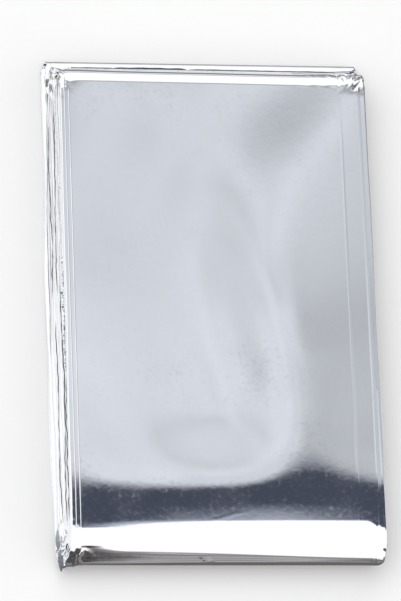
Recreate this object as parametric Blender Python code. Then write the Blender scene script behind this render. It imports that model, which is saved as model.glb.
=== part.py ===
"""Folded emergency foil blanket, as one folded sheet lying on its back.

A metallised film sheet of 1.30 x 2.10 m is halved four times across its width into a strip, and the strip
is then halved along its length into a flat pack that fits a hand. Here the strip is one sheet that runs back
and forth through the pack's eight layers, each the thickness of the plies and the air it holds.

Frame: +X is the pack's right, +Y its open end, +Z the front face's normal. The pack rests on z = 0, and the
origin is the middle of its footprint.
"""

import math
from typing import NamedTuple

import bmesh
import bpy
from mathutils import Vector

MM = 0.001

# Driving sizes.
NODE = "foil_blanket"
LAYER = 1.15 * MM          # thickness of one layer of the strip
GAP = 0.40 * MM            # air between two layers
PITCH = LAYER + GAP
LAYER_COUNT = 8

# Where the folds reach, measured along Y from the middle of the front face.
SPINE_REACH = -65.4 * MM       # the last fold, round all eight layers
FRONT_REACH = 65.7 * MM        # the front half's fold, round its four layers
BACK_REACH = 71.4 * MM         # the first fold, round the two rearmost layers
FREE_END_REACH = {5: 67.7 * MM, 6: 69.2 * MM}    # the strip's two cut ends

# How much longer than deep each fold's nose is.
SPINE_STRETCH = 1.5
END_STRETCH = 1.2

# The strip's way through the layers, numbered from the front face: each leg ends in a fold, first at the
# spine and then at the open end, in turn.
ROUTE = (5, 4, 1, 8, 7, 2, 3, 6)

STRAIGHT_SPANS = 9
LAST_STATION = 60.0 * MM
# Places across the strip, as shares of its width, closer together near its edges.
ACROSS = (0.0, 0.02, 0.06, 0.14, 0.27, 0.42, 0.57, 0.72, 0.85, 0.93, 0.975, 1.0)

# The top of the front bundle drops to the right, and the spine drops the other way.
FRONT_SKEW = -0.7 * MM
SPINE_SKEW = -0.3 * MM
SKEW_ZONE = 40.0 * MM

# The rear layers' lower left corner pokes out past the spine.
CORNER_POKE = 1.0 * MM
CORNER_SHARE = 0.10

# The rear layers' upper left corner is nipped in.
NIP = 1.5 * MM
NIP_LENGTH = 2.4 * MM

# Unevenness of the pack's height: edges pressed down, an open end lower than the spine, and a slow wave.
EDGE_DROOP = 0.03
EDGE_DROOP_WIDTH = 7.0 * MM
END_DROOP = 0.02
WAVE = 0.010
WAVE_LENGTH = (95.0 * MM, 118.0 * MM)

# Each layer's side edges wander a little, each at its own phase.
RIPPLE = 0.18 * MM
RIPPLE_LENGTH = 47.0 * MM
RIPPLE_PHASE = 1.9

FOIL_COLOUR = (0.80, 0.82, 0.85, 1.0)
FOIL_ROUGHNESS = 0.12


class LayerEdges(NamedTuple):
    """Left and right edges of one layer, in mm from the middle of the front face."""

    left_spine: float
    left_middle: float
    left_end: float
    right_spine: float
    right_middle: float
    right_end: float


# One row for each layer, from the front face to the back: the left edges fan out, the right ones hardly do.
EDGES = {
    1: LayerEdges(-41.0, -41.0, -41.0, 40.2, 40.2, 40.1),
    2: LayerEdges(-41.3, -41.5, -41.4, 40.0, 40.0, 39.9),
    3: LayerEdges(-41.7, -41.9, -41.7, 39.8, 39.8, 39.8),
    4: LayerEdges(-42.0, -42.3, -41.9, 39.6, 39.6, 39.8),
    5: LayerEdges(-42.4, -42.7, -42.3, 39.5, 39.3, 39.6),
    6: LayerEdges(-42.9, -43.2, -42.8, 39.3, 39.2, 39.6),
    7: LayerEdges(-43.5, -43.9, -43.4, 39.0, 39.0, 39.5),
    8: LayerEdges(-44.2, -44.9, -44.4, 38.7, 38.8, 39.5),
}


class Dent(NamedTuple):
    """A soft rise or dip of the pack: its place and reach in mm, and its height as a share of the pack's."""

    x: float
    y: float
    reach_x: float
    reach_y: float
    rise: float


DENTS = {
    "swell before the spine": Dent(0.0, -46.0, 90.0, 15.0, 0.035),
    "hollow of the panel": Dent(8.0, 18.0, 26.0, 34.0, -0.012),
    "crushed upper right corner": Dent(40.0, 64.0, 9.0, 6.0, -0.050),
    "crushed upper left corner": Dent(-41.0, 66.0, 5.0, 5.0, -0.045),
    "turned-down lower right corner": Dent(41.0, -60.0, 6.0, 8.0, -0.050),
    "pinched lower left corner": Dent(-41.0, -62.0, 5.0, 6.0, -0.055),
}


class Fold(NamedTuple):
    """A fold from one layer to another: its middle along Y, the way it points and its steps."""

    centre: float
    way: int
    stretch: float
    steps: int


class SectionPoint(NamedTuple):
    """A point of the strip's middle line in the Y-Z section, and the layers whose edges it has."""

    y: float
    z: float
    layer: int
    next_layer: int
    share: float


def smooth(share: float) -> float:
    """Ease a share between 0 and 1."""
    share = min(1.0, max(0.0, share))
    return share * share * (3.0 - 2.0 * share)


def mix(first: float, second: float, share: float) -> float:
    """Return the value at a share of the way from first to second."""
    return first + (second - first) * share


def layer_height(layer: int) -> float:
    """Return the height of a layer's middle over the surface."""
    return LAYER / 2 + (LAYER_COUNT - layer) * PITCH


def fold_centre(reach: float, way: int, depth: float, stretch: float) -> float:
    """Return the Y of a fold's middle, from how far its outer face reaches and its depth to the middle line."""
    return reach - way * (depth * stretch + LAYER / 2)


def fold_between(first: int, second: int, way: int) -> Fold:
    """Return the fold that joins two layers: nested folds share the middle of the outermost one."""
    steps = 4 + 2 * (abs(first - second) // 2 + 1)
    if way < 0:
        outermost = (layer_height(1) - layer_height(LAYER_COUNT)) / 2
        return Fold(fold_centre(SPINE_REACH, way, outermost, SPINE_STRETCH), way, SPINE_STRETCH, steps)
    if max(first, second) <= LAYER_COUNT // 2:
        outermost = (layer_height(1) - layer_height(LAYER_COUNT // 2)) / 2
        return Fold(fold_centre(FRONT_REACH, way, outermost, END_STRETCH), way, END_STRETCH, steps)
    return Fold(fold_centre(BACK_REACH, way, PITCH / 2, END_STRETCH), way, END_STRETCH, steps)


def leg_points(layer: int, spine: float, end: float) -> list[SectionPoint]:
    """Return a layer's points from the spine's middle to its open end, at stations that all layers share."""
    step = (LAST_STATION - spine) / STRAIGHT_SPANS
    stations = [spine + number * step for number in range(STRAIGHT_SPANS + 1)]
    if end - LAST_STATION > step / 2:
        stations.append((LAST_STATION + end) / 2)
    stations.append(end)
    return [SectionPoint(y, layer_height(layer), layer, layer, 0.0) for y in stations]


def fold_points(first: int, second: int, fold: Fold) -> list[SectionPoint]:
    """Return the points between two layers' ends, round half an ellipse."""
    middle = (layer_height(first) + layer_height(second)) / 2
    depth = layer_height(first) - middle
    points = []
    for number in range(1, fold.steps):
        angle = math.pi * number / fold.steps
        y = fold.centre + fold.way * abs(depth) * fold.stretch * math.sin(angle)
        z = middle + depth * math.cos(angle)
        points.append(SectionPoint(y, z, first, second, smooth(number / fold.steps)))
    return points


def section() -> list[SectionPoint]:
    """Return the strip's middle line through the pack, from one cut end to the other."""
    spine = fold_between(1, LAYER_COUNT, -1).centre
    points = []
    way = -1
    for place, layer in enumerate(ROUTE):
        previous = ROUTE[place - 1] if place else None
        following = ROUTE[place + 1] if place + 1 < len(ROUTE) else None
        top_partner = previous if way < 0 else following
        end = FREE_END_REACH[layer] if top_partner is None else fold_between(layer, top_partner, 1).centre
        leg = leg_points(layer, spine, end)
        points += leg[::-1] if way < 0 else leg
        if following is not None:
            points += fold_points(layer, following, fold_between(layer, following, way))
        way = -way
    return points


def edge_at(spine: float, middle: float, end: float, y: float) -> float:
    """Return an edge's X at a Y, eased from the spine through the middle to the open end."""
    along = (y - SPINE_REACH) / (BACK_REACH - SPINE_REACH)
    if along < 0.5:
        return mix(spine, middle, smooth(2 * along)) * MM
    return mix(middle, end, smooth(2 * along - 1)) * MM


def layer_sides(layer: int, y: float) -> tuple[float, float]:
    """Return the X of a layer's left and right edges at a Y."""
    row = EDGES[layer]
    ripple = RIPPLE * math.sin(math.tau * y / RIPPLE_LENGTH + RIPPLE_PHASE * layer)
    left = edge_at(row.left_spine, row.left_middle, row.left_end, y) + ripple
    right = edge_at(row.right_spine, row.right_middle, row.right_end, y) - ripple
    if layer > LAYER_COUNT - 2:
        left += NIP * smooth((y - (BACK_REACH - NIP_LENGTH)) / NIP_LENGTH)
    return left, right


def loft(x: float, y: float) -> float:
    """Return how high the pack stands at a place, as a share of its plain height."""
    height = 1.0
    for dent in DENTS.values():
        across = (x / MM - dent.x) / dent.reach_x
        along = (y / MM - dent.y) / dent.reach_y
        height += dent.rise * math.exp(-across * across - along * along)
    left_droop = smooth((EDGES[1].left_middle * MM + EDGE_DROOP_WIDTH - x) / EDGE_DROOP_WIDTH)
    right_droop = smooth((x - EDGES[1].right_middle * MM + EDGE_DROOP_WIDTH) / EDGE_DROOP_WIDTH)
    height -= EDGE_DROOP * max(left_droop, right_droop) + END_DROOP * smooth(y / FRONT_REACH)
    return height + WAVE * math.sin(math.tau * x / WAVE_LENGTH[0]) * math.cos(math.tau * y / WAVE_LENGTH[1])


def place(point: SectionPoint, share: float) -> Vector:
    """Return where a point of the section lies at a share of the way across the strip."""
    left, right = layer_sides(point.layer, point.y)
    next_left, next_right = layer_sides(point.next_layer, point.y)
    x = mix(mix(left, next_left, point.share), mix(right, next_right, point.share), share)

    rear = smooth(1.0 - (point.z - LAYER / 2) / (LAYER_COUNT / 2 * PITCH))
    near_spine = smooth(1.0 - (point.y - SPINE_REACH) / SKEW_ZONE)
    near_end = smooth(1.0 - (FRONT_REACH - point.y) / SKEW_ZONE)
    y = point.y + (share - 0.5) * (SPINE_SKEW * near_spine + FRONT_SKEW * near_end * (1.0 - rear))
    y -= CORNER_POKE * rear * near_spine * smooth(1.0 - share / CORNER_SHARE)

    z = LAYER / 2 + (point.z - LAYER / 2) * loft(x, y)
    return Vector((x, y, z))


def foil_material() -> bpy.types.Material:
    """Return the plain silvery finish of the metallised film."""
    material = bpy.data.materials.new("silver_foil")
    material.use_nodes = True
    shader = material.node_tree.nodes["Principled BSDF"]
    shader.inputs["Base Color"].default_value = FOIL_COLOUR
    shader.inputs["Metallic"].default_value = 1.0
    shader.inputs["Roughness"].default_value = FOIL_ROUGHNESS
    return material


def strip_surface() -> bpy.types.Mesh:
    """Return the strip's middle surface: the section's points, laid out across the strip and joined."""
    surface = bmesh.new()
    rows = [[surface.verts.new(place(point, share)) for share in ACROSS] for point in section()]
    for row, following in zip(rows, rows[1:]):
        for number in range(len(ACROSS) - 1):
            corners = (row[number], row[number + 1], following[number + 1], following[number])
            surface.faces.new(corners).smooth = True
    mesh = bpy.data.meshes.new(NODE)
    surface.to_mesh(mesh)
    surface.free()
    return mesh


def foil_blanket() -> bpy.types.Object:
    """Build the folded blanket: its middle surface, given its thickness to both sides."""
    blanket = bpy.data.objects.new(NODE, strip_surface())
    bpy.context.scene.collection.objects.link(blanket)
    thickness = blanket.modifiers.new("thickness", "SOLIDIFY")
    thickness.thickness = LAYER
    thickness.offset = 0.0
    thickness.use_even_offset = True
    blanket.data.materials.append(foil_material())
    return blanket


def centre_footprint(piece: bpy.types.Object) -> None:
    """Move a piece so that the middle of its footprint is at the origin."""
    bpy.context.view_layer.update()
    solid = piece.evaluated_get(bpy.context.evaluated_depsgraph_get())
    corners = [Vector(corner) for corner in solid.bound_box]
    for axis in (0, 1):
        places = [corner[axis] for corner in corners]
        piece.location[axis] = -(min(places) + max(places)) / 2


def main() -> None:
    """Clear the scene and build the blanket in it."""
    for thing in list(bpy.data.objects):
        bpy.data.objects.remove(thing, do_unlink=True)
    centre_footprint(foil_blanket())


main()
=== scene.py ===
"""Folded emergency foil blanket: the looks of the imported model.

The film is one long strip, sixteen plies thick, folded in half four times along its length. It is made
here as one closed sheet that runs through the pack's sixteen panels, on the folds of the solid that it
replaces, with its creases, crushed corners and fanned edges. Single plies whose edges work loose lie
between the panels.

Sizes are in millimetres from the middle of the front face, with +X to the pack's right, +Y to its open
end and heights from the surface that it lies on. They become metres of the model's frame where a mesh is
made.
"""

import logging
import math
from dataclasses import dataclass, field
from enum import Enum

import bmesh
import bpy
import numpy as np
from mathutils import Matrix, Vector

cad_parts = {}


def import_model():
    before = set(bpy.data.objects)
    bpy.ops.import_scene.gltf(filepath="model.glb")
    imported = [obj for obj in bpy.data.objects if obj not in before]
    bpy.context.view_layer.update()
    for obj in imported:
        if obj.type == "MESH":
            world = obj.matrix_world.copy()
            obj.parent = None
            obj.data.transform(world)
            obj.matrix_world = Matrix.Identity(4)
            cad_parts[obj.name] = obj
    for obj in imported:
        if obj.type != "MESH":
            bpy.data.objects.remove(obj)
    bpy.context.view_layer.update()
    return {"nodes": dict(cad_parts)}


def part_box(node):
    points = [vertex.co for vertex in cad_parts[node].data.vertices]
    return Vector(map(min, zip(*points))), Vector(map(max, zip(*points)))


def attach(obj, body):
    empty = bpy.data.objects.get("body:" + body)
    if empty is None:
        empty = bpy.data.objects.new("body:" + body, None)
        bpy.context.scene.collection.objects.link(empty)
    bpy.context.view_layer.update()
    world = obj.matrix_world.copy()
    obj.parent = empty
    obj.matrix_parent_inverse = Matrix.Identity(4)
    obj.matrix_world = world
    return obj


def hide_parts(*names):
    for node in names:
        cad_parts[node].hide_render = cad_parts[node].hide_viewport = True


Array = np.ndarray
Pair = tuple[float, float]
Triple = tuple[float, float, float]
Colour = tuple[float, float, float, float]
Socket = bpy.types.NodeSocket
Object = bpy.types.Object
MM = 0.001
NODE = "foil_blanket"
BODY = "root"
SLOT = "silver_foil"

log = logging.getLogger("foil_blanket")


class End(Enum):
    """An end of the pack, by the way it lies along Y."""

    SPINE = -1
    OPEN = 1


class Side(Enum):
    """A side edge of the pack, by the way it lies along X."""

    LEFT = -1
    RIGHT = 1


def ease(share: Array) -> Array:
    """Ease shares between 0 and 1.

    Args:
        share: Any numbers; those outside 0 to 1 are held at the ends.

    Returns:
        The eased shares, with no slope at 0 and 1.
    """
    share = np.clip(share, 0.0, 1.0)
    return share * share * (3.0 - 2.0 * share)


def mix(first: Array, second: Array, share: Array) -> Array:
    """Return the values at a share of the way from first to second."""
    return first + (second - first) * share


def zigzag(place: Array) -> Array:
    """Return a triangle wave of period 1 between -1 and 1, whose straight flanks make flat facets."""
    return 4.0 * np.abs(place % 1.0 - 0.5) - 1.0


def wave(place: Array, length: float, phase: float | Array = 0.0) -> Array:
    """Return a sine wave of the given length at each place."""
    return np.sin(math.tau * place / length + phase)


def put_in_scene(name: str, data: bpy.types.ID) -> Object:
    """Return a new object of the scene that holds a mesh, a lamp or a camera."""
    thing = bpy.data.objects.new(name, data)
    bpy.context.scene.collection.objects.link(thing)
    return thing


@dataclass
class Nodes:
    """A node tree, with short ways to add to it."""

    tree: bpy.types.NodeTree

    def feed(self, target: Socket, source: object) -> None:
        """Link an input to a socket, or give it a value."""
        if isinstance(source, Socket):
            self.tree.links.new(source, target)
        else:
            target.default_value = source

    def add(self, kind: str, inputs: dict[str | int, object], output: str | int = 0, **modes: str) -> Socket:
        """Add a node.

        Args:
            kind: The node's type.
            inputs: The socket or value that each of its inputs takes, by the input's name or number.
            output: The name or number of the output that is wanted.
            modes: The node's own settings.

        Returns:
            The wanted output.
        """
        node = self.tree.nodes.new(kind)
        for name, mode in modes.items():
            setattr(node, name, mode)
        for name, source in inputs.items():
            self.feed(node.inputs[name], source)
        return node.outputs[output]

    def math(self, operation: str, *values: Socket | float) -> Socket:
        """Return a sum, product or the like of sockets and numbers."""
        return self.add("ShaderNodeMath", dict(enumerate(values)), operation=operation)

    def noise(self, place: Socket, scale: float, detail: float) -> Socket:
        """Return a noise of the given scale, read at a place."""
        return self.add("ShaderNodeTexNoise", {"Vector": place, "Scale": scale, "Detail": detail}, "Fac")

    def spread(self, value: Socket, span: Pair, ends: Pair = (0.0, 1.0), kind: str = "SMOOTHSTEP") -> Socket:
        """Return a value brought from a span to new ends, and held at them outside it."""
        spans = dict(zip(("From Min", "From Max", "To Min", "To Max"), (*span, *ends)))
        return self.add("ShaderNodeMapRange", {"Value": value, **spans}, "Result", interpolation_type=kind)


@dataclass(frozen=True)
class Dent:
    """A soft rise or dip of the whole pack, its height as a share of the pack's."""

    x: float
    y: float
    reach_x: float
    reach_y: float
    rise: float


@dataclass(frozen=True)
class Crease:
    """A straight ridge or trough in the front skin; v runs along the strip, as y does on the front face.

    It fades out at its ends over a length, and can be wider on its far side than on its near one.
    """

    x: float
    v: float
    end_x: float
    end_v: float
    width: float
    height: float
    fade: float = 2.0
    lopsided: float = 1.0


@dataclass(frozen=True)
class Crush:
    """A crushed place, where every layer near it is buckled into facets."""

    x: float
    y: float
    z: float
    reach: Triple
    depth: float
    cell: float
    seed: int


@dataclass(frozen=True)
class PackSizes:
    """Driving sizes of the folded pack, in mm.

    Panels are numbered from the front, and each two of them make a bundle, whose edges are given at the
    spine, the middle and the open end. A reach is the Y of a fold or cut end. Skew, squareness, round,
    shear and droop are given for the pack's left and right. A shoulder delay is an X, its reach and how much
    later the front bends into the spine there. An edge's own wave is a height, a length and the number of
    its drawn phase.
    """

    ply: float = 0.54
    pitch: float = 0.765
    panels: int = 16
    spine_reach: float = -65.4
    front_reach: float = 66.4
    back_reach: float = 71.6
    solid_back_reach: float = 71.4
    first_fold_reach: float = 69.1
    free_reach: dict[int, float] = field(default_factory=lambda: {9: 68.1, 10: 67.7})
    spine_stretch: float = 1.5
    spine_bulk: float = 0.8
    spine_squareness: Pair = (1.0, 0.45)
    spine_round: Pair = (0.9, 1.0)
    spine_round_zone: float = 16.0
    spine_shear: Pair = (0.0, 0.13)
    shoulder: Pair = (-55.3, -66.0)
    shoulder_droop: Pair = (0.01, 0.13)
    shoulder_delays: tuple[Triple, ...] = ((37.6, 1.5, 1.3), (39.6, 0.6, 1.2), (40.3, 1.2, 4.2))
    end_stretch: float = 1.3
    right_reach: float = 40.3
    bundle_route: tuple[int, ...] = (5, 4, 1, 8, 7, 2, 3, 6)
    left_edges: tuple[Triple, ...] = (
        (-41.4, -41.15, -41.1), (-41.65, -41.65, -41.5), (-41.7, -41.9, -41.7), (-42.0, -42.3, -41.9),
        (-42.4, -42.7, -42.3), (-42.9, -43.2, -42.8), (-43.5, -43.9, -43.4), (-44.2, -44.9, -44.4),
    )
    right_edges: tuple[Triple, ...] = (
        (40.2, 40.2, 40.1), (40.0, 40.0, 39.9), (39.8, 39.8, 39.8), (39.6, 39.6, 39.8),
        (39.5, 39.3, 39.6), (39.3, 39.2, 39.6), (39.0, 39.0, 39.5), (38.7, 38.8, 39.5),
    )
    dents: tuple[Dent, ...] = (
        Dent(4.0, -46.0, 52.0, 14.0, 0.034),
        Dent(8.0, 18.0, 26.0, 34.0, -0.012),
        Dent(42.0, 67.2, 5.2, 3.4, -0.1),
        Dent(-42.0, 67.0, 3.5, 3.5, -0.04),
        Dent(41.5, -64.0, 3.5, 2.4, -0.05),
        Dent(-42.5, -64.5, 3.0, 3.5, -0.05),
    )
    crushes: tuple[Crush, ...] = (
        Crush(-43.0, -62.0, 3.0, (3.4, 6.0, 7.0), 0.75, 4.4, 3),
        Crush(-43.4, 66.3, 7.0, (3.1, 4.6, 9.0), 0.8, 2.5, 8),
        Crush(40.2, -61.6, 8.0, (1.3, 2.2, 9.0), 0.32, 2.4, 21),
        Crush(38.5, 66.8, 8.0, (5.5, 2.8, 9.0), 0.8, 2.6, 34),
        Crush(31.0, 65.6, 12.0, (7.0, 1.8, 2.5), 0.34, 1.6, 55),
    )
    crush_floor: float = 2.0
    facets: tuple[Pair, ...] = ((1.0, 1.0), (0.62, 0.7), (0.38, 0.4))
    facet_push: Triple = (0.5, 0.5, 0.36)
    end_droop: float = 0.02
    wave: float = 0.01
    wave_length: Pair = (95.0, 118.0)
    ripple: float = 0.18
    ripple_length: float = 47.0
    ripple_phase: float = 1.9
    wander_seed: int = 16
    wander_phases: int = 6
    wanders: tuple[tuple[float, float, int], ...] = ((0.1, 61.0, 4), (0.05, 17.0, 0), (0.025, 7.3, 1))
    steady_panels: int = 2
    front_steadiness: float = 0.3
    second_ply_inset: float = 0.12
    front_lip: float = 0.06
    lip_width: Pair = (0.2, 0.9)
    lip_droop: float = 0.34
    lip_curve: float = 1.4
    lip_room: float = 1.2
    front_skew: Pair = (0.42, -0.12)
    spine_skew: Pair = (0.15, -0.95)
    skew_zone: float = 40.0
    corner_poke: float = 2.2
    corner_share: float = 0.06
    nip: float = 1.5
    nip_length: float = 2.4
    nip_after: int = 12


@dataclass
class Rows:
    """The strip's middle line in the Y-Z section, one entry for each row of points across the strip.

    A row lies at y and z, moved round its fold's middle by its angle, 0 on the upper panel and pi on the
    lower one. Its v runs along the strip, and a fine row is on the skin that shows.
    """

    y: Array
    z: Array
    reach: Array
    depth: Array
    angle: Array
    panel: Array
    next_panel: Array
    v: Array
    fine: Array

    @property
    def share(self) -> Array:
        """Return how far each row has come from its panel to the next, from 0 to 1."""
        return ease(self.angle / math.pi)


@dataclass
class FoldPlan:
    """The strip's way through the pack.

    A panel's rows are spaced by the length of the zones at its ends, the step in them and the one between.
    """

    sizes: PackSizes
    skin_spacing: Triple = (6.0, 0.3, 0.9)
    plain_spacing: Triple = (8.0, 1.0, 3.6)
    spine_steps: int = 60
    fold_steps: int = 8

    def __post_init__(self) -> None:
        """Work out the order of the panels."""
        bundles = list(enumerate(self.sizes.bundle_route))
        out = [2 * bundle - (place + 1) % 2 for place, bundle in bundles]
        back = [2 * bundle - place % 2 for place, bundle in bundles]
        self.route = out + back[::-1]

    def height(self, panel: int) -> float:
        """Return the height of a panel's middle over the surface, before the pack's unevenness."""
        return self.sizes.ply / 2 + (self.sizes.panels - panel) * self.sizes.pitch

    def fold_centre(self, first: int, second: int, end: End) -> float:
        """Return the Y of the middle of the fold between two panels.

        Args:
            first: A panel's number, from the front.
            second: The number of the panel that it is folded onto.
            end: The end of the pack where the fold lies.

        Returns:
            The Y of the nested folds' shared middle, in mm.
        """
        sizes = self.sizes
        if end is End.SPINE:
            nested = (sizes.panels - 1) / 2 * sizes.pitch * sizes.spine_stretch
            return sizes.spine_reach + nested + sizes.ply / 2
        half = sizes.panels // 2
        if max(first, second) <= half:
            reach, across = sizes.front_reach, half - 1
        elif min(first, second) > 3 * sizes.panels // 4:
            reach, across = sizes.back_reach, sizes.panels // 4 - 1
        else:
            reach, across = sizes.first_fold_reach, 1
        return reach - across / 2 * sizes.pitch * sizes.end_stretch - sizes.ply / 2

    def panel_ends(self, place: int) -> tuple[float, float]:
        """Return the Y where the flat part of the panel at a place of the route starts and stops."""
        panel = self.route[place]
        spine = self.fold_centre(1, self.sizes.panels, End.SPINE)
        to_spine = place % 2 == 0
        partner = place - 1 if to_spine else place + 1
        if 0 <= partner < len(self.route):
            end = self.fold_centre(panel, self.route[partner], End.OPEN)
        else:
            end = self.sizes.free_reach[panel]
        return (end, spine) if to_spine else (spine, end)

    def rows(self) -> Rows:
        """Return every row of the strip, from one cut end to the other.

        Rows lie close together on the skin that shows and near the ends, and further apart inside.
        """
        parts: list[tuple[Array, ...]] = []
        for place, panel in enumerate(self.route):
            start, stop = self.panel_ends(place)
            y = self._spaced(start, stop, panel == 1)
            parts.append(self._columns(y, self.height(panel), 0.0, 0.0, 0.0, panel, panel, panel == 1))
            if place + 1 < len(self.route):
                end = End.SPINE if stop < start else End.OPEN
                parts.append(self._fold(panel, self.route[place + 1], end))
        y, z, reach, depth, angle, panel, following, fine = (np.concatenate(column) for column in zip(*parts))
        at_y, at_z = y + reach * np.sin(angle), z + depth * np.cos(angle)
        run = np.cumsum(np.hypot(np.diff(at_y, prepend=at_y[0]), np.diff(at_z, prepend=at_z[0])))
        front = np.flatnonzero((panel == 1) & (angle == 0.0))[0]
        return Rows(y, z, reach, depth, angle, panel, following, at_y[front] - (run - run[front]), fine > 0)

    def _spaced(self, start: float, stop: float, skin: bool) -> Array:
        """Return the Y of a straight panel's rows, closer together near its ends."""
        length = abs(stop - start)
        zone, step, stride = self.skin_spacing if skin else self.plain_spacing
        near = np.arange(0.0, zone, step)
        middle = np.linspace(zone, length - zone, round((length - 2 * zone) / stride) + 1)
        run = np.concatenate([near, middle, length - near[::-1]])
        return start + math.copysign(1.0, stop - start) * run

    @staticmethod
    def _columns(*values: float | Array) -> tuple[Array, ...]:
        """Return a stretch of rows as columns, in the order that rows() takes them."""
        return tuple(column.astype(float) for column in np.broadcast_arrays(*values))

    def _fold(self, first: int, second: int, end: End) -> tuple[Array, ...]:
        """Return the columns of the fold between two panels, without its ends."""
        stretch = self.sizes.spine_stretch if end is End.SPINE else self.sizes.end_stretch
        middle = (self.height(first) + self.height(second)) / 2
        depth = self.height(first) - middle
        skin = 1 in (first, second)
        steps = self.fold_steps * (1 + skin) + 2 * round(abs(depth) / self.sizes.pitch + 0.5)
        if {first, second} == {1, self.sizes.panels}:
            steps = self.spine_steps
        angle = np.linspace(0.0, math.pi, steps + 1)[1:-1]
        centre, reach = self.fold_centre(first, second, end), end.value * abs(depth) * stretch
        return self._columns(centre, middle, reach, depth, angle, first, second, skin)


@dataclass
class Shape:
    """Where the strip's points lie, with the pack's unevenness."""

    sizes: PackSizes

    def __post_init__(self) -> None:
        """Draw the phases of the edges' own waves."""
        sizes = self.sizes
        random = np.random.default_rng(sizes.wander_seed)
        self.phases = random.uniform(0.0, math.tau, (sizes.panels + 1, sizes.wander_phases))

    def edge(self, panel: Array, y: Array, side: Side) -> Array:
        """Return the X of the panels' edges on one side, at each Y, in mm."""
        sizes = self.sizes
        number = panel.astype(int)
        table = np.array(sizes.left_edges if side is Side.LEFT else sizes.right_edges)
        near, middle, far = table[(number - 1) // 2].T
        along = 2 * (y - sizes.spine_reach) / (sizes.back_reach - sizes.spine_reach)
        x = np.where(along < 1.0, mix(near, middle, ease(along)), mix(middle, far, ease(along - 1.0)))
        ripple = sizes.ripple * wave(y, sizes.ripple_length, sizes.ripple_phase * ((number + 1) // 2))
        wander = sum(
            height * wave(y, length, self.phases[number, phase]) for height, length, phase in sizes.wanders
        )
        uneven = (ripple + wander) * np.where(number > sizes.steady_panels, 1.0, sizes.front_steadiness)
        second = sizes.second_ply_inset * (number % 2 == 0)
        if side is Side.RIGHT:
            return x - uneven - second - sizes.ply / 2
        nipped = sizes.nip * ease((y - sizes.back_reach + sizes.nip_length) / sizes.nip_length)
        return x + uneven - second + np.where(number > sizes.nip_after, nipped, 0.0) + sizes.ply / 2

    def edges(self, rows: Rows, side: Side) -> Array:
        """Return the X of the strip's edge at each row, in mm."""
        here = self.edge(rows.panel, rows.y, side)
        there = self.edge(rows.next_panel, rows.y, side)
        return mix(here, there, rows.share)

    def loft(self, x: Array, y: Array) -> Array:
        """Return how high the pack stands at each place, as a share of its plain height."""
        sizes = self.sizes
        height = np.ones_like(x)
        for dent in sizes.dents:
            away = ((x - dent.x) / dent.reach_x) ** 2 + ((y - dent.y) / dent.reach_y) ** 2
            height += dent.rise * np.exp(-away)
        left, right = sizes.left_edges[0][1], sizes.right_edges[0][1]
        across = ease((x - left) / (right - left))
        start, stop = sizes.shoulder
        for place, reach, delay in sizes.shoulder_delays:
            start = start - delay * np.exp(-(((x - place) / reach) ** 2))
        height -= mix(*sizes.shoulder_droop, across) * ease((y - start) / (stop - start))
        height -= sizes.end_droop * ease(y / sizes.front_reach)
        length_x, length_y = sizes.wave_length
        return height + sizes.wave * (wave(x, length_x) * np.cos(math.tau * y / length_y))

    def crush(self, points: Array) -> Array:
        """Return how far each point is pushed about by the crushed places, in mm."""
        push = np.zeros_like(points)
        for crush in self.sizes.crushes:
            random = np.random.default_rng(crush.seed)
            offset = points - np.array([crush.x, crush.y, crush.z])
            mask = np.exp(-np.sum((offset / np.array(crush.reach)) ** 2, axis=-1))
            for scale, strength in self.sizes.facets:
                for axis, share in enumerate(self.sizes.facet_push):
                    way = random.normal(size=3)
                    way /= np.linalg.norm(way)
                    facet = zigzag(points @ way / (crush.cell * scale) + random.uniform())
                    push[..., axis] += mask * facet * crush.depth * strength * share
        return push

    def middle_surface(self, rows: Rows, shares: Array) -> Array:
        """Return the strip's middle surface.

        Args:
            rows: The rows along the strip.
            shares: Places across the strip, as shares of its width.

        Returns:
            Points in mm, indexed by row, place across and axis.
        """
        sizes = self.sizes
        left = self.edges(rows, Side.LEFT)[:, None]
        right = self.edges(rows, Side.RIGHT)[:, None]
        across = shares[None, :]
        x = mix(left, right, across)
        power = self._at_spine(rows, sizes.spine_squareness, across)
        turn = np.cos(rows.angle)[:, None]
        y = self._spine_rounding(rows, across, power)
        z = rows.z[:, None] + rows.depth[:, None] * np.sign(turn) * np.abs(turn) ** power
        rear = ease(1.0 - (z - sizes.ply / 2) / (sizes.panels / 2 * sizes.pitch))
        near_spine = ease(1.0 - (y - sizes.spine_reach) / sizes.skew_zone)
        near_end = ease(1.0 - (sizes.front_reach - y) / sizes.skew_zone)
        skew = mix(*sizes.spine_skew, across) * near_spine
        skew = skew + mix(*sizes.front_skew, across) * near_end * (1.0 - rear)
        poke = sizes.corner_poke * rear * near_spine * ease(1.0 - across / sizes.corner_share)
        top = sizes.ply / 2 + sizes.panels * sizes.pitch
        shear = mix(*sizes.spine_shear, ease(across)) * (top - z) * near_spine
        y = y + skew - poke + shear
        z = sizes.ply / 2 + (z - sizes.ply / 2) * self.loft(x, y)
        z -= self._lip_droop(rows, x - left, z)
        points = np.stack([x, y, z], axis=-1)
        points = points + self.crush(points) * ease((z - sizes.ply / 2) / sizes.crush_floor)[..., None]
        points[..., 2] = np.maximum(points[..., 2], sizes.ply / 2)
        return points

    @staticmethod
    def _at_spine(rows: Rows, ends: Pair, across: Array) -> Array:
        """Return a value that eases from the spine's left end to its right one, and is 1 off the spine."""
        return np.where(rows.reach[:, None] < 0, mix(*ends, ease(across)), 1.0)

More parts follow.
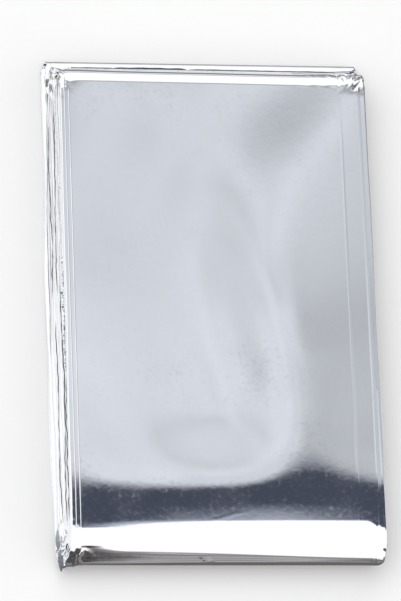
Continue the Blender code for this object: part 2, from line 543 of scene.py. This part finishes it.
    def _spine_rounding(self, rows: Rows, across: Array, power: Array) -> Array:
        """Return each point's Y, with the spine's nested folds rounder at one end of the spine."""
        sizes = self.sizes
        centre = rows.y.min()
        rounding = self._at_spine(rows, sizes.spine_round, across)
        spare = (1.0 - mix(*sizes.spine_round, ease(across))) * (sizes.spine_reach - centre)
        near = ease(1.0 - (rows.y - centre) / sizes.spine_round_zone)[:, None]
        turned = rows.reach[:, None] * rounding * np.abs(np.sin(rows.angle)[:, None]) ** power
        return rows.y[:, None] + spare * near + turned

    def _lip_droop(self, rows: Rows, inside: Array, z: Array) -> Array:
        """Return how far each point near the left edge sags towards the panel below it, in mm."""
        sizes = self.sizes
        straight = 1.0 - np.sin(math.pi * np.clip(rows.share, 0.0, 1.0))
        above = self.edge(np.maximum(rows.panel - 1, 1), rows.y, Side.LEFT)
        bare = above - self.edge(rows.panel, rows.y, Side.LEFT)
        bare = np.where(rows.panel > 1, bare, sizes.front_lip)
        width = np.clip(bare, *sizes.lip_width)
        fall = np.clip(1.0 - inside / width[:, None], 0.0, 1.0) ** sizes.lip_curve
        room = ease((z - sizes.ply / 2) / sizes.lip_room)
        return (sizes.lip_droop * np.minimum(bare, width) * straight)[:, None] * fall * room


@dataclass
class Relief:
    """The front skin's own creases and swells of air, as heights along its normal."""

    creases: tuple[Crease, ...] = (
        Crease(-39.8, 66.0, -39.82, -57.5, 0.085, 0.025),
        Crease(-38.64, 60.0, -38.67, -57.0, 0.085, 0.025),
        Crease(33.2, 64.0, 33.1, -60.0, 0.2, 0.01),
        Crease(38.25, 62.0, 38.3, -72.0, 0.2, 0.022),
        Crease(39.1, -20.0, 39.3, -72.0, 0.2, -0.02),
        Crease(-6.9, -64.4, -3.4, -69.2, 0.22, 0.1),
        Crease(-38.1, -62.6, -39.5, -64.9, 0.22, 0.14, 1.0),
        Crease(-39.5, -64.9, -38.3, -67.5, 0.22, 0.12),
        Crease(-39.9, -64.4, -40.2, -69.0, 0.25, 0.14),
        Crease(-39.9, -60.7, -32.5, -60.6, 0.62, 0.15, 5.0),
        Crease(-40.0, -61.0, -30.0, -60.9, 1.3, 0.115, 6.0),
        Crease(-37.7, -62.4, -36.5, -63.9, 0.3, 0.06),
        Crease(37.5, -56.3, 37.5, -66.0, 0.1, 0.06),
        Crease(38.7, -56.2, 38.85, -60.0, 0.2, 0.05, 2.6, 1.4),
        Crease(-4.6, -54.6, 2.6, -52.6, 0.1, 0.0035),
        Crease(13.7, -54.2, 16.9, -52.3, 0.1, 0.0035),
    )
    swell_slope: float = 0.0036
    swell_count: int = 16
    swell_turn: float = 0.16
    swell_lengths: Pair = (24.0, 70.0)
    bend_depths: Pair = (5.0, 3.0)
    bend_scales: Triple = (19.0, 11.0, 31.0)
    taut_from: float = -48.0
    loose_from: float = -26.0
    taut_share: float = 0.1
    seed: int = 47

    def __post_init__(self) -> None:
        """Draw the directions, lengths and phases of the swells."""
        random = np.random.default_rng(self.seed)
        self.angles = random.normal(0.0, self.swell_turn, self.swell_count)
        self.lengths = random.uniform(*self.swell_lengths, self.swell_count)
        self.phases = random.uniform(0.0, math.tau, self.swell_count)

    def _swells(self, x: Array, v: Array) -> Array:
        """Return the swells of air under the skin, in mm, tight by the spine and looser up the panel."""
        height = np.zeros_like(x)
        (first, second), (slow, across, along) = self.bend_depths, self.bend_scales
        bend = first * np.sin(v / slow) + second * np.sin(x / across + v / along)
        for angle, length, phase in zip(self.angles, self.lengths, self.phases):
            place = ((x + bend) * math.cos(angle) + (v - bend) * math.sin(angle)) / length
            height += np.sin(math.tau * place + phase) * length / math.tau
        loose = mix(self.taut_share, 1.0, ease((v - self.taut_from) / (self.loose_from - self.taut_from)))
        return height * self.swell_slope * loose

    def _ridges(self, x: Array, v: Array) -> Array:
        """Return the creases' heights, in mm."""
        height = np.zeros_like(x)
        for crease in self.creases:
            along = np.array([crease.end_x - crease.x, crease.end_v - crease.v])
            length = np.hypot(*along)
            unit = along / length
            reach = (x - crease.x) * unit[0] + (v - crease.v) * unit[1]
            offset = (x - crease.x) * unit[1] - (v - crease.v) * unit[0]
            inside = ease(reach / crease.fade + 0.5) * ease((length - reach) / crease.fade + 0.5)
            width = np.where(offset < 0.0, crease.width * crease.lopsided, crease.width)
            height += crease.height * np.exp(-((offset / width) ** 2)) * inside
        return height

    def heights(self, x: Array, v: Array) -> Array:
        """Return the skin's height over its plain surface at each place, in mm."""
        return self._swells(x, v) + self._ridges(x, v)


@dataclass(frozen=True)
class FoilFinish:
    """Mirror-bright metallised film with a fine crinkle and faint haze.

    Haze and scuffs each have a noise's scale, the span taken from it and the roughness that it becomes. The
    crinkle and the grain over it are bumps of a scale, a detail and a depth in metres.
    """

    colour: Colour = (0.9, 0.915, 0.94, 1.0)
    detail: float = 6.0
    haze: tuple[float, Pair, Pair] = (90.0, (0.38, 0.72), (0.025, 0.065))
    scuffs: tuple[float, Pair, Pair] = (900.0, (0.5, 0.72), (0.0, 0.04))
    bumps: tuple[Triple, ...] = ((520.0, 3.0, 0.000002), (2600.0, 2.0, 0.0000003))

    def material(self) -> bpy.types.Material:
        """Return the film's material, with roughness and bump from its own nodes."""
        material = bpy.data.materials.new(SLOT)
        material.use_nodes = True
        nodes = Nodes(material.node_tree)
        place = nodes.add("ShaderNodeTexCoord", {}, "Object")
        haze, scuffs = (
            nodes.spread(nodes.noise(place, scale, self.detail), span, ends, "LINEAR")
            for scale, span, ends in (self.haze, self.scuffs)
        )
        under: dict[str, Socket] = {}
        for scale, detail, depth in self.bumps:
            height = nodes.noise(place, scale, detail)
            inputs = {"Strength": 1.0, "Distance": depth, "Height": height, **under}
            under = {"Normal": nodes.add("ShaderNodeBump", inputs)}
        roughness = nodes.math("ADD", haze, scuffs)
        looks = {"Base Color": self.colour, "Metallic": 1.0, "Roughness": roughness, **under}
        for name, source in looks.items():
            nodes.feed(material.node_tree.nodes["Principled BSDF"].inputs[name], source)
        return material


@dataclass
class FoldedSheet:
    """The folded blanket as one closed sheet, with its fine skin and plainer inner panels.

    Its place is where the sizes' origin lies in the model's frame, in metres. Stretches across the strip
    have a start, a stop and a step in mm, and the last one stops short of the strip's edge. The inner
    panels take the places nearest to those in plain_at.
    """

    sizes: PackSizes
    place: Vector
    stretches: tuple[Triple, ...] = (
        (0.0, 0.03, 0.03), (0.03, 0.2, 0.08), (0.2, 0.8, 0.12), (0.8, 0.98, 0.06), (0.98, 1.61, 0.03),
        (1.61, 2.2, 0.12), (2.2, 2.68, 0.03), (2.68, 2.8, 0.06), (2.8, 4.2, 0.34), (4.2, 73.8, 1.1),
        (73.8, 75.6, 0.2), (75.6, 77.4, 0.35), (77.4, 80.4, 0.13), (80.4, 99.0, 0.2),
    )
    stop_short: float = 0.05
    closest: float = 0.02
    plain_at: tuple[float, ...] = (
        0.0, 0.03, 0.11, 0.2, 0.4, 0.6, 0.8, 1.1, 1.7, 2.6, 7.0, 17.0, 29.0, 41.0, 53.0, 64.0, 73.0, 77.5,
        79.5, 80.6, 81.2,
    )
    lip_angles: tuple[float, ...] = (32.0, 64.0, 90.0, 116.0, 148.0)
    lip_reach: tuple[float, ...] = (1.0, 0.95, 0.55, 0.95, 1.0)

    def __post_init__(self) -> None:
        """Plan the folds."""
        self.rows = FoldPlan(self.sizes).rows()
        self.shape = Shape(self.sizes)
        self.shares, self.plain = self._places_across()

    def _places_across(self) -> tuple[Array, Array]:
        """Return the skin's places across the strip, as shares, and which of them inner panels have."""
        width = self.sizes.right_edges[0][1] - self.sizes.left_edges[0][1]
        last = width - self.stop_short
        runs = [np.arange(start, min(stop, last), step) for start, stop, step in self.stretches]
        places = np.concatenate(runs + [[width]])
        places = places[np.diff(places, prepend=-1.0) > self.closest] / width
        wanted = np.array(self.plain_at) / width
        return places, np.array(sorted({int(np.argmin(np.abs(places - share))) for share in wanted}))

    def in_model(self, points: Array) -> list[list[float]]:
        """Return points given in mm as metres of the model's frame."""
        return (points * MM + np.array(self.place)).tolist()

    def mesh(self) -> bpy.types.Mesh:
        """Build the sheet's mesh.

        Returns:
            One closed mesh, in metres of the model's frame.
        """
        rows, ply, plain = self.rows, self.sizes.ply, self.plain
        surface = self.shape.middle_surface(rows, self.shares)
        along, across = np.gradient(surface, axis=0), np.gradient(surface, axis=1)
        normal = np.cross(along, across)
        normal /= np.linalg.norm(normal, axis=-1, keepdims=True)
        across /= np.linalg.norm(across, axis=-1, keepdims=True)
        skin = rows.fine[:, None]
        relief = np.where(skin, Relief().heights(surface[..., 0], rows.v[:, None]), 0.0)
        half = ply / 2 * (1.0 + self.sizes.spine_bulk * np.sin(rows.angle) * (rows.reach < 0))[:, None]
        outer = surface + normal * (np.where(skin, ply / 2, half) + relief)[..., None]
        inner = surface - normal * half[..., None]
        rings = [
            np.concatenate([
                top if fine else top[plain],
                self._lip(top[-1], under[-1], way[-1]),
                under[plain][::-1],
                self._lip(under[0], top[0], -way[0]),
            ])
            for top, under, way, fine in zip(outer, inner, across, rows.fine)
        ]
        ends = np.cumsum([len(ring) for ring in rings])
        marks = [mark.tolist() for mark in np.split(np.arange(ends[-1]), ends[:-1])]
        first = [face[::-1] for face in self._cap(marks[0])]
        faces = first + self._faces(marks) + self._cap(marks[-1])
        points = np.concatenate(rings)
        points[:, 2] = np.maximum(points[:, 2], 0.0)
        mesh = bpy.data.meshes.new(NODE + "_sheet")
        mesh.from_pydata(self.in_model(points), [], faces)
        mesh.shade_smooth()
        return mesh

    def build(self, material: bpy.types.Material) -> Object:
        """Build the sheet and dress it.

        Args:
            material: The film's material.

        Returns:
            The sheet's object.
        """
        sheet = put_in_scene(NODE + "_sheet", self.mesh())
        sheet.data.materials.append(material)
        return sheet

    def _lip(self, start: Array, stop: Array, outward: Array) -> Array:
        """Return the points round an edge's lip, from one face to the other, with its shallow groove."""
        angle = np.radians(self.lip_angles)[:, None]
        reach = np.array(self.lip_reach)[:, None]
        rise, out = (start - stop) / 2, outward * self.sizes.ply / 2
        return (start + stop) / 2 + reach * (np.cos(angle) * rise + np.sin(angle) * out)

    def _faces(self, marks: list[list[int]]) -> list[list[int]]:
        """Return the faces between neighbouring rings, also where a fine ring meets a plain one."""
        faces = []
        for ring, following in zip(marks, marks[1:]):
            pairs = self._matches(len(ring), len(following))
            for (a, b), (c, d) in zip(pairs, pairs[1:] + pairs[:1]):
                faces.append(self._stretch(ring, a, c) + self._stretch(following, b, d)[::-1])
        return faces

    @staticmethod
    def _stretch(ring: list[int], start: int, stop: int) -> list[int]:
        """Return a ring's marks from one place to another, going round past its end where needed."""
        return ring[start:stop + 1] if stop > start else ring[start:] + ring[:stop + 1]

    def _matches(self, length: int, following: int) -> list[tuple[int, int]]:
        """Return which places of two neighbouring rings, of these lengths, lie side by side."""
        if length == following:
            return [(place, place) for place in range(length)]
        count, every = len(self.plain), range(min(length, following))
        pairs = [(int(self.plain[n]) if n < count else n + len(self.shares) - count, n) for n in every]
        return pairs if length > following else [pair[::-1] for pair in pairs]

    def _cap(self, ring: list[int]) -> list[list[int]]:
        """Return the faces that close the strip's last end, from its last ring."""
        count, lips = len(self.plain), len(self.lip_angles)
        top, bottom = ring[:count], ring[count + lips:2 * count + lips][::-1]
        faces = [[top[n], top[n + 1], bottom[n + 1], bottom[n]] for n in range(count - 1)]
        return faces + [ring[count - 1:count + lips + 1], ring[2 * count + lips - 1:] + ring[:1]]


@dataclass(frozen=True)
class LooseEdge:
    """A single film's edge that peeps out from under a panel, in mm and degrees.

    It runs along Y at a side of the pack, or along X at a cut end where it has no side. It is turned up by
    an angle, and how far it peeps out wanders by its waver. A crumpled one is also pushed and twisted about
    at each step. Its bluntness says how quickly it widens from its tips. A leaf that stands loose runs
    straight between two ends of its own.
    """

    panel: int
    side: Side | None
    start: float
    stop: float
    peep: float
    width: float = 0.5
    turn: float = 0.0
    crumple: float = 0.015
    twist: float = 1.2
    waver: float = 0.5
    bluntness: float = 8.0
    ends: tuple[Triple, Triple] | None = None


@dataclass
class FilmEdges:
    """The edges of single films that have worked loose between the folded sheet's panels.

    They are swept at even steps along guides. Their width and thickness are those of an edge of full size,
    and they lie a little under the panel that covers them.
    """

    sheet: FoldedSheet
    width: float = 0.5
    thickness: float = 0.06
    under: float = 0.05
    guide_step: float = 0.8
    step: float = 0.42
    jitter: Triple = (1.0, 0.6, 0.4)
    carried: tuple[str, ...] = ("size", "turn", "crumple", "twist")
    wander_lengths: Triple = (37.0, 13.0, 5.0)
    steady_peep: float = 0.7
    thinnest: float = 0.15
    seed: int = 12
    edges: tuple[LooseEdge, ...] = (
        LooseEdge(2, Side.LEFT, -18.0, 16.0, 0.52, 0.46, 20.0, 0.19, 46.0),
        LooseEdge(2, Side.LEFT, -55.0, -16.0, 0.42, 0.34, 43.5),
        LooseEdge(4, Side.LEFT, -56.0, 12.0, 0.4, 0.42, 43.5),
        LooseEdge(4, Side.LEFT, 8.0, 60.0, 0.18),
        LooseEdge(8, Side.LEFT, 6.0, 60.0, 0.3, 0.3, 43.5),
        LooseEdge(10, Side.LEFT, -54.0, 0.0, 0.3, 0.3, 43.5),
        LooseEdge(12, Side.LEFT, 6.0, 54.0, 0.34, 0.34, 43.5),
        LooseEdge(12, Side.LEFT, -61.0, -55.4, 0.0, 1.25, 0.0, 0.0, 0.0, 0.0, 2.4,
                  ((-43.7, -61.0, 3.08), (-43.6, -55.4, 3.03))),
        LooseEdge(9, Side.LEFT, -67.0, -60.8, 0.0, 1.55, 0.0, 0.0, 0.0, 0.0, 2.4,
                  ((-43.3, -67.0, 5.5), (-43.25, -60.8, 5.44))),
        LooseEdge(14, Side.LEFT, -10.0, 58.0, 0.18, 0.22, 36.0),
        LooseEdge(2, Side.RIGHT, -50.0, 60.0, 0.18, turn=6.0),
        LooseEdge(5, Side.RIGHT, -54.0, 10.0, 0.22, turn=5.0, crumple=0.05),
        LooseEdge(8, Side.RIGHT, -30.0, 60.0, 0.2, turn=5.0),
        LooseEdge(11, Side.RIGHT, -54.0, 58.0, 0.24),
        LooseEdge(14, Side.RIGHT, -40.0, 55.0, 0.2, turn=6.0, crumple=0.05),
        LooseEdge(12, None, -38.5, -24.0, 0.74, 0.8, 3.5, 0.01, 0.5, 0.1),
        LooseEdge(12, None, -27.0, -5.0, 0.98, 1.05, 3.5, 0.01, 0.3, 0.12),
        LooseEdge(12, None, -8.0, 36.0, 0.76, 0.8, 3.5, 0.01, 0.5, 0.08),
    )

    def _edge_line(self, edge: LooseEdge) -> Array:
        """Return the points of the panel's edge that a film peeps out from under, in mm."""
        rows = self.sheet.rows
        flat = (rows.panel == edge.panel) & (rows.angle == 0.0)
        if edge.side is None:
            reach = np.where((rows.panel == edge.panel) | (rows.next_panel == edge.panel), rows.reach, 0.0)
            outermost = np.argmax((rows.y + reach * np.sin(rows.angle)) * (flat | (reach > 0.0)))
            last = np.flatnonzero(flat)[np.argmax(rows.y[flat])]
            surface = self.sheet.shape.middle_surface(rows, self.sheet.shares)
            return np.concatenate([surface[outermost, :, :2], surface[last, :, 2:]], axis=1)
        share = np.array([0.0 if edge.side is Side.LEFT else 1.0])
        line = self.sheet.shape.middle_surface(rows, share)[flat, 0]
        return line[np.argsort(line[:, 1])]

    def _guide(self, edge: LooseEdge, random: np.random.Generator) -> tuple[Array, Array]:
        """Return the points that a film's edge follows, in mm, and its share of its full width at each."""
        place = np.arange(edge.start, edge.stop, self.guide_step)
        share = (place - edge.start) / (edge.stop - edge.start)
        taper = np.sqrt(ease(np.minimum(share, 1.0 - share) * edge.bluntness)).clip(self.thinnest, 1.0)
        lengths = self.wander_lengths
        wander = sum(wave(place, length, random.uniform(0.0, math.tau)) / len(lengths) for length in lengths)
        if edge.ends is not None:
            points = mix(*np.array(edge.ends), share[:, None])
            points[:, 2] -= self.thickness * edge.width / self.width * taper / 2
            return points, taper
        line = self._edge_line(edge)
        along, out, outward = (0, 1, 1) if edge.side is None else (1, 0, edge.side.value)
        points = np.stack([np.interp(place, line[:, along], line[:, axis]) for axis in range(3)], axis=-1)
        points[:, along] = place
        peep = edge.peep * (self.steady_peep + edge.waver * wander) * taper
        points[:, out] += outward * (peep - edge.width * taper / 2 + self.sheet.sizes.ply / 2)
        points[:, 2] -= self.sheet.sizes.ply / 2 + self.under
        return points, taper

    def _guides(self) -> bpy.types.Mesh:
        """Return a mesh of edges that holds every film's route, with the numbers that its sweep needs."""
        random = np.random.default_rng(self.seed)
        points: list[list[float]] = []
        chains: list[tuple[int, int]] = []
        carried: dict[str, list[float]] = {name: [] for name in self.carried}
        for edge in self.edges:
            guide, taper = self._guide(edge, random)
            chains += [(len(points) + n, len(points) + n + 1) for n in range(len(guide) - 1)]
            points += self.sheet.in_model(guide)
            turn, twist = math.radians(edge.turn), math.radians(edge.twist)
            turn = -turn if edge.side is Side.RIGHT else turn
            numbers = (edge.width / self.width * taper, turn, edge.crumple * MM, twist)
            for values, number in zip(carried.values(), numbers):
                values += (number * np.ones(len(guide))).tolist()
        mesh = bpy.data.meshes.new("film_guides")
        mesh.from_pydata(points, chains, [])
        for name, values in carried.items():
            mesh.attributes.new(name, "FLOAT", "POINT").data.foreach_set("value", values)
        return mesh

    def _tree(self, material: bpy.types.Material) -> bpy.types.NodeTree:
        """Return the nodes that sweep a thin film along each route."""
        tree = bpy.data.node_groups.new("film_edges", "GeometryNodeTree")
        for way in ("INPUT", "OUTPUT"):
            tree.interface.new_socket("Geometry", in_out=way, socket_type="NodeSocketGeometry")
        nodes = Nodes(tree)
        add, numbers = nodes.add, "GeometryNodeInputNamedAttribute"
        size, turn, crumple, twist = (add(numbers, {"Name": name}, "Attribute") for name in self.carried)
        route = add("GeometryNodeMeshToCurve", {"Mesh": add("NodeGroupInput", {})})
        route = add("GeometryNodeResampleCurve", {"Curve": route, "Length": self.step * MM}, mode="LENGTH")
        spans = {"Min": tuple(-reach for reach in self.jitter), "Max": self.jitter, "Seed": self.seed}
        jitter = add("FunctionNodeRandomValue", spans, "Value", data_type="FLOAT_VECTOR")
        push = add("ShaderNodeVectorMath", {0: jitter, "Scale": crumple}, operation="SCALE")
        route = add("GeometryNodeSetPosition", {"Geometry": route, "Offset": push})
        route = add("GeometryNodeSetCurveNormal", {"Curve": route}, mode="Z_UP")
        tilt = nodes.math("MULTIPLY_ADD", add("ShaderNodeSeparateXYZ", {0: jitter}), twist, turn)
        route = add("GeometryNodeSetCurveTilt", {"Curve": route, "Tilt": tilt})
        section = {"Width": self.width * MM, "Height": self.thickness * MM}
        sweep = {"Curve": route, "Profile Curve": add("GeometryNodeCurvePrimitiveQuadrilateral", section)}
        film = add("GeometryNodeCurveToMesh", {**sweep, "Scale": size, "Fill Caps": True})
        film = add("GeometryNodeSetShadeSmooth", {"Geometry": film, "Shade Smooth": False})
        film = add("GeometryNodeSetMaterial", {"Geometry": film, "Material": material})
        nodes.feed(tree.nodes.new("NodeGroupOutput").inputs["Geometry"], film)
        return tree

    def build(self, material: bpy.types.Material) -> Object:
        """Build the loose film edges.

        Args:
            material: The film's material.

        Returns:
            One object with every loose edge.
        """
        guide = put_in_scene("film_guides", self._guides())
        guide.modifiers.new("sweep", "NODES").node_group = self._tree(material)
        bpy.context.view_layer.update()
        mesh = bpy.data.meshes.new_from_object(guide.evaluated_get(bpy.context.evaluated_depsgraph_get()))
        mesh.name = "film_edges"
        bpy.data.objects.remove(guide)
        whole = bmesh.new()
        whole.from_mesh(mesh)
        bmesh.ops.recalc_face_normals(whole, faces=whole.faces)
        whole.to_mesh(mesh)
        whole.free()
        return put_in_scene("film_edges", mesh)


@dataclass(frozen=True)
class Card:
    """A soft-edged bright or dark panel round the pack, which its foil mirrors.

    It lies along its axis. Its edges are tangents of the angles off that axis: first to the right, then
    upwards, as seen from the pack, with the open end up for a card overhead or below. Its cloud has how
    often it changes to the right and upwards, and by what share it lightens and darkens the colour.
    """

    axis: Triple
    low: Pair
    high: Pair
    soft: Pair
    colour: Triple
    cloud: Triple = (1.0, 1.0, 0.0)


TO_RIGHT, TO_LEFT = (1.0, 0.0, 0.0), (-1.0, 0.0, 0.0)
TO_OPEN_END, TO_SPINE = (0.0, 1.0, 0.0), (0.0, -1.0, 0.0)
ABOVE, BELOW = (0.0, 0.0, 1.0), (0.0, 0.0, -1.0)
FAR = 99.0


@dataclass
class Surroundings:
    """What stands round the pack: a white dome, and cards laid over it, each over those before it. Where
    cards reach below the horizon they stand for the floor as the foil mirrors it, and the dark ones there are
    painted shade.
    """

    dome: Triple = (1.12, 1.12, 1.12)
    horizon: float = 0.02
    least_depth: float = 0.001
    cloud_detail: float = 3.0
    cloud_span: Pair = (0.3, 0.7)
    cards: tuple[Card, ...] = (
        # The pale floor.
        Card(BELOW, (-FAR, -FAR), (FAR, FAR), (0.1, 0.1), (0.97, 0.97, 0.975)),
        # Round the room. Where the dark cards to the right and towards the right of the spine reach below the
        # horizon, they lie where the foil would mirror the pale floor and paint it dark there: painted shade.
        Card(TO_RIGHT, (-1.0, -0.9), (1.0, 0.24), (0.3, 0.06), (0.12, 0.124, 0.135), (3.0, 6.0, 0.4)),
        Card(TO_LEFT, (-1.0, -0.5), (1.0, 0.08), (0.3, 0.1), (0.97, 0.972, 0.975), (3.0, 9.0, 0.15)),
        Card(TO_LEFT, (-0.9, 0.13), (1.0, 0.27), (0.1, 0.04), (0.18, 0.18, 0.19)),
        Card(TO_OPEN_END, (-0.6, 0.02), (0.6, 0.16), (0.3, 0.05), (0.5, 0.51, 0.53), (3.0, 6.0, 0.4)),
        Card((1, -1, 0), (-0.6, -1.2), (0.45, 0.3), (0.2, 0.06), (0.16, 0.155, 0.15), (3.0, 6.0, 0.4)),
        # Painted shade: a grey floor beyond the open end, wholly below the horizon, which the top folds
        # mirror as dark lines in the gaps between them.
        Card(TO_OPEN_END, (-1.2, -1.6), (1.2, -0.15), (0.3, 0.1), (0.27, 0.27, 0.28)),
        Card((1, 1, 0), (-0.35, 0.05), (0.5, 2.2), (0.15, 0.15), (0.2, 0.2, 0.21), (3.0, 5.0, 0.5)),
        Card((-1, 1, 0), (-0.35, 0.05), (0.5, 1.3), (0.15, 0.15), (0.24, 0.24, 0.25), (3.0, 5.0, 0.5)),
        # The dark front of the room, where the spine's lower half looks. These cards reach below the horizon,
        # where the foil would mirror the pale floor, and paint it there as a dark floor: painted shade.
        Card(TO_SPINE, (-0.3, -FAR), (1.6, 0.62), (0.05, 0.1), (0.36, 0.345, 0.345), (30.0, 5.0, 0.5)),
        Card(TO_SPINE, (-0.117, -FAR), (1.6, 0.62), (0.022, 0.1), (0.085, 0.078, 0.08), (60.0, 6.0, 0.6)),
        Card(TO_SPINE, (-0.128, -FAR), (1.6, -0.3), (0.014, 0.24), (0.09, 0.083, 0.085), (60.0, 6.0, 0.5)),
        Card(TO_SPINE, (-0.6, -0.4), (-0.168, 0.35), (0.015, 0.3), (0.2, 0.195, 0.195), (60.0, 6.0, 0.6)),
        Card(TO_SPINE, (-0.6, -FAR), (-0.215, -0.4), (0.03, 0.3), (0.17, 0.165, 0.165), (60.0, 6.0, 0.6)),
        # Painted shade: a dark patch of floor just under the pack, to the right of straight down, which the
        # foil mirrors in place of the real floor's shade.
        Card(BELOW, (-0.02, -0.8), (0.8, 0.8), (0.15, 0.4), (0.14, 0.13, 0.125)),
        # The gap overhead: its grey rim, silver haze, the dark slot in it, and the slot's two paler rims.
        Card(ABOVE, (-0.6, 0.19), (-0.05, 0.42), (0.05, 0.025), (0.42, 0.43, 0.46)),
        Card(ABOVE, (-0.6, 0.19), (-0.05, 0.37), (0.05, 0.03), (0.6, 0.615, 0.65), (9.0, 9.0, 0.3)),
        Card(ABOVE, (-0.6, 0.195), (-0.05, 0.258), (0.05, 0.02), (0.062, 0.07, 0.1), (900.0, 1200.0, 0.45)),
        Card(ABOVE, (-0.6, 0.189), (-0.05, 0.205), (0.05, 0.012), (0.13, 0.14, 0.19), (40.0, 9.0, 0.35)),
        Card(ABOVE, (-0.6, 0.181), (-0.05, 0.1975), (0.05, 0.01), (0.34, 0.36, 0.41), (40.0, 9.0, 0.35)),
    )

    def build(self) -> None:
        """Give the scene a world with the dome and its cards."""
        world = bpy.data.worlds.new("studio")
        world.use_nodes = True
        self.nodes = Nodes(world.node_tree)
        place = self.nodes.add("ShaderNodeTexCoord", {}, "Generated")
        self.way = self.nodes.add("ShaderNodeVectorMath", {0: place}, operation="NORMALIZE")
        colour: Socket | Colour = (*self.dome, 1.0)
        for card in self.cards:
            colour = self._lay(card, colour)
        self.nodes.feed(world.node_tree.nodes["Background"].inputs["Color"], colour)
        bpy.context.scene.world = world

    def _along(self, axis: Vector) -> Socket:
        """Return how far the direction points along an axis."""
        inputs = {0: self.way, 1: axis}
        return self.nodes.add("ShaderNodeVectorMath", inputs, "Value", operation="DOT_PRODUCT")

    def _lay(self, card: Card, under: Socket | Colour) -> Socket:
        """Return the colour with a card laid over it."""
        nodes, axis = self.nodes, Vector(card.axis).normalized()
        up = Vector(TO_OPEN_END if axis.z else ABOVE)
        ahead = self._along(axis)
        depth = nodes.math("MAXIMUM", ahead, self.least_depth)
        mask = nodes.spread(ahead, (0.0, self.horizon))
        spans = []
        for side, low, high, soft in zip((axis.cross(up), up), card.low, card.high, card.soft):
            spans.append(nodes.math("DIVIDE", self._along(side), depth))
            for edge, ends in ((low, (0.0, 1.0)), (high, (1.0, 0.0))):
                inside = nodes.spread(spans[-1], (edge - soft / 2, edge + soft / 2), ends)
                mask = nodes.math("MULTIPLY", mask, inside)
        layers = {"Factor": mask, "A": under, "B": self._tint(card, spans)}
        return nodes.add("ShaderNodeMix", layers, "Result", data_type="RGBA")

    def _tint(self, card: Card, spans: list[Socket]) -> Socket | Colour:
        """Return a card's colour, clouded where it says so."""
        nodes, amount = self.nodes, card.cloud[2]
        if amount == 0.0:
            return (*card.colour, 1.0)
        place = {axis: nodes.math("MULTIPLY", *pair) for axis, *pair in zip("XY", spans, card.cloud)}
        noise = nodes.noise(nodes.add("ShaderNodeCombineXYZ", place), 1.0, self.cloud_detail)
        level = nodes.spread(noise, self.cloud_span, (1.0 - amount, 1.0 + amount))
        return nodes.add("ShaderNodeVectorMath", {0: card.colour, "Scale": level}, operation="SCALE")


@dataclass(frozen=True)
class Studio:
    """Pale floor, soft light and the camera, in metres and degrees, with its aim and lens in mm."""

    floor_size: float = 3.0
    floor_colour: Colour = (0.9, 0.9, 0.9, 1.0)
    floor_roughness: float = 0.9
    lamp_size: float = 1.6
    lamp_power: float = 9.0
    lamp_place: Triple = (-0.5, 0.7, 1.5)
    to_left: float = 8.91
    to_spine: float = 16.48
    roll: float = -2.16
    distance: float = 1.0848
    aim: Pair = (-6.02, 2.97)
    lens: float = 251.6
    sensor: float = 36.0

    def floor(self) -> None:
        """Lay the floor, hidden from the foil's mirrored rays; the foil mirrors the room's cards in its
        place.
        """
        mesh = bpy.data.meshes.new("floor")
        half = self.floor_size / 2
        corners = [(-half, -half, 0), (half, -half, 0), (half, half, 0), (-half, half, 0)]
        mesh.from_pydata(corners, [], [(0, 1, 2, 3)])
        floor = put_in_scene("floor", mesh)
        material = bpy.data.materials.new("pale_floor")
        material.use_nodes = True
        shader = material.node_tree.nodes["Principled BSDF"]
        shader.inputs["Base Color"].default_value = self.floor_colour
        shader.inputs["Roughness"].default_value = self.floor_roughness
        mesh.materials.append(material)
        floor.visible_glossy = False

    def lamp(self) -> None:
        """Hang a wide lamp that lights the floor and isn't mirrored."""
        data = bpy.data.lights.new("lamp", "AREA")
        data.size, data.energy = self.lamp_size, self.lamp_power
        lamp = put_in_scene("lamp", data)
        place = Vector(self.lamp_place)
        lamp.matrix_world = Matrix.Translation(place) @ place.to_track_quat("Z", "Y").to_matrix().to_4x4()
        lamp.visible_glossy = False

    def camera(self, place: Vector) -> None:
        """Set up the camera over the pack's lower left, with a long lens."""
        left, spine, roll = (math.radians(angle) for angle in (self.to_left, self.to_spine, self.roll))
        turn_left, lean = math.sin(left) * math.cos(spine), math.cos(spine) * math.cos(left)
        back = Vector((-turn_left, -math.sin(spine), lean))
        right = Vector(TO_OPEN_END).cross(back).normalized()
        turned_right = math.cos(roll) * right + math.sin(roll) * back.cross(right)
        turn = Matrix((turned_right, back.cross(turned_right), back)).transposed()
        data = bpy.data.cameras.new("camera")
        data.lens, data.sensor_width = self.lens, self.sensor
        camera = put_in_scene("camera", data)
        aim = place + Vector((self.aim[0] * MM, self.aim[1] * MM, 0.0))
        camera.matrix_world = Matrix.Translation(aim + back * self.distance) @ turn.to_4x4()
        bpy.context.scene.camera = camera


def main() -> None:
    """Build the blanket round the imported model, then the studio."""
    logging.basicConfig(level=logging.INFO, format="%(name)s: %(message)s")
    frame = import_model()
    low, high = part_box(NODE)
    log.info("frame of %d node from %s to %s", len(frame["nodes"]), tuple(low), tuple(high))
    sizes = PackSizes()
    place = Vector((high.x - sizes.right_reach * MM, high.y - sizes.solid_back_reach * MM, 0.0))
    foil = FoilFinish().material()
    folded = FoldedSheet(sizes, place)
    sheet = folded.build(foil)
    films = FilmEdges(folded).build(foil)
    for piece in (sheet, films):
        log.info("%s: %d triangles", piece.name, sum(len(face.vertices) - 2 for face in piece.data.polygons))
        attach(piece, BODY)
        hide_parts(NODE)
    studio = Studio()
    studio.floor()
    studio.lamp()
    studio.camera(place + Vector((0.0, 0.0, high.z)))
    Surroundings().build()
    bpy.context.scene.view_settings.view_transform = "Standard"


if __name__ == "__main__":
    main()
